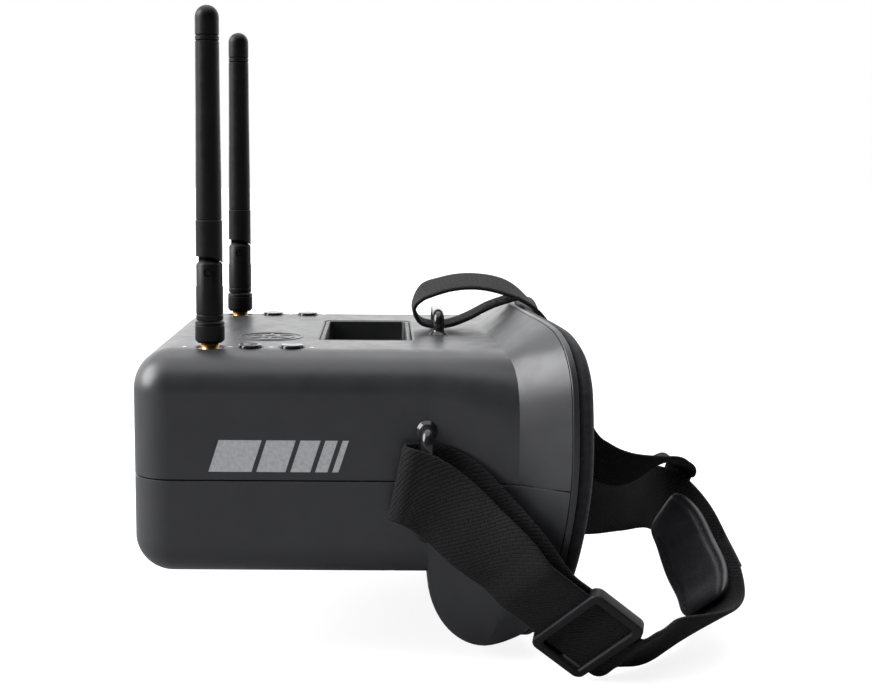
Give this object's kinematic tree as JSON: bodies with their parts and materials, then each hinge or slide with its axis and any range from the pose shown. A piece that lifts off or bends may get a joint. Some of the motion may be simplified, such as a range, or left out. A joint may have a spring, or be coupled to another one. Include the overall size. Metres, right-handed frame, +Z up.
{
  "type": "fpv goggles",
  "caption": "Box-type video goggles with a face hood, two folding stub antennas, push buttons, an open battery bay and a webbing head strap with a slider.",
  "frame": {"origin": "centre of the flat underside of the case, on the middle plane", "axes": "+Z up; +X to the wearer's left, the side with the strap slider; +Y to the wearer's face; -Y to the screen end"},
  "size_m": [0.1765, 0.2105, 0.2164],
  "materials": {
    "shell_grey": "fine moulded texture",
    "black_plastic": "satin",
    "gloss_black": "gloss",
    "antenna_rubber": "satin",
    "brass": "machined",
    "steel": "satin",
    "webbing": "woven elastic",
    "foam_cloth": "brushed",
    "lining": "smooth",
    "lens_clear": "polished",
    "screen": "polished",
    "board_green": "satin",
    "cell_blue": "satin"
  },
  "bodies": {
    "case": {"top_shell": "shell_grey", "bottom_shell": "shell_grey", "battery_tray": "black_plastic", "face_frame": "black_plastic", "face_foam": "foam_cloth", "lens_frame": "black_plastic", "eyepiece_lens": "lens_clear", "lcd_panel": "screen", "lcd_bracket": "black_plastic", "main_board": "board_green", "receiver_module_left": "steel", "receiver_module_right": "steel", "battery_cell": "cell_blue", "side_board": "board_green", "power_switch_body": "steel", "charge_port": "steel", "av_jack": "gloss_black", "card_slot": "steel", "strap_loop_left": "gloss_black", "strap_loop_right": "gloss_black", "strap_loop_top": "gloss_black", "side_strap_left": "webbing", "strap_return_left": "webbing", "side_strap_right": "webbing", "top_strap": "webbing", "back_pad": "lining", "button_board_left": "board_green", "sma_connector_left": "brass", "tact_switch_left_front": "steel", "case_screw_left_front": "steel", "tact_switch_left_rear": "steel", "case_screw_left_rear": "steel", "lens_screw_left_upper": "steel", "lens_screw_left_lower": "steel", "button_board_right": "board_green", "sma_connector_right": "brass", "tact_switch_right_front": "steel", "case_screw_right_front": "steel", "tact_switch_right_rear": "steel", "case_screw_right_rear": "steel", "lens_screw_right_upper": "steel", "lens_screw_right_lower": "steel"},
    "antenna_nut_left_body": {"antenna_nut_left": "antenna_rubber"},
    "antenna_base_left": {"antenna_sleeve_left": "antenna_rubber", "antenna_pin_left": "steel"},
    "antenna_rod_left": {"antenna_whip_left": "antenna_rubber"},
    "button_left_front_body": {"button_left_front": "gloss_black"},
    "button_left_rear_body": {"button_left_rear": "gloss_black"},
    "antenna_nut_right_body": {"antenna_nut_right": "antenna_rubber"},
    "antenna_base_right": {"antenna_sleeve_right": "antenna_rubber", "antenna_pin_right": "steel"},
    "antenna_rod_right": {"antenna_whip_right": "antenna_rubber"},
    "button_right_front_body": {"button_right_front": "gloss_black"},
    "button_right_rear_body": {"button_right_rear": "gloss_black"},
    "power_switch": {"power_switch_knob": "gloss_black"},
    "slider": {"strap_slider": "black_plastic"}
  },
  "joints": [
    {"name": "antenna_nut_left_spin", "type": "hinge", "parent": "case", "child": "antenna_nut_left_body", "pos_m": [0.05, -0.049, 0.08], "axis": [0, 0, 1], "continuous": true},
    {"name": "antenna_left_swivel", "type": "hinge", "parent": "case", "child": "antenna_base_left", "pos_m": [0.05, -0.049, 0.09], "axis": [0, 0, 1], "continuous": true},
    {"name": "antenna_left_fold", "type": "hinge", "parent": "antenna_base_left", "child": "antenna_rod_left", "pos_m": [0.05, -0.049, 0.1], "axis": [1, 0, 0], "range_deg": [0, 90]},
    {"name": "button_left_front_press", "type": "slide", "parent": "case", "child": "button_left_front_body", "axis": [0, 0, -1], "range_m": [0, 0.0008], "stiffness_N_per_m": 400},
    {"name": "button_left_rear_press", "type": "slide", "parent": "case", "child": "button_left_rear_body", "axis": [0, 0, -1], "range_m": [0, 0.0008], "stiffness_N_per_m": 400},
    {"name": "antenna_nut_right_spin", "type": "hinge", "parent": "case", "child": "antenna_nut_right_body", "pos_m": [-0.05, -0.049, 0.08], "axis": [0, 0, 1], "continuous": true},
    {"name": "antenna_right_swivel", "type": "hinge", "parent": "case", "child": "antenna_base_right", "pos_m": [-0.05, -0.049, 0.09], "axis": [0, 0, 1], "continuous": true},
    {"name": "antenna_right_fold", "type": "hinge", "parent": "antenna_base_right", "child": "antenna_rod_right", "pos_m": [-0.05, -0.049, 0.1], "axis": [1, 0, 0], "range_deg": [0, 90]},
    {"name": "button_right_front_press", "type": "slide", "parent": "case", "child": "button_right_front_body", "axis": [0, 0, -1], "range_m": [0, 0.0008], "stiffness_N_per_m": 400},
    {"name": "button_right_rear_press", "type": "slide", "parent": "case", "child": "button_right_rear_body", "axis": [0, 0, -1], "range_m": [0, 0.0008], "stiffness_N_per_m": 400},
    {"name": "power_switch_slide", "type": "slide", "parent": "case", "child": "power_switch", "axis": [0, 1, 0], "range_m": [0, 0.0025]},
    {"name": "strap_slider_slide", "type": "slide", "parent": "case", "child": "slider", "axis": [0.0999, -0.7789, 0.6191], "range_m": [0, 0.012], "deforming": ["strap_return_left"]}
  ]
}
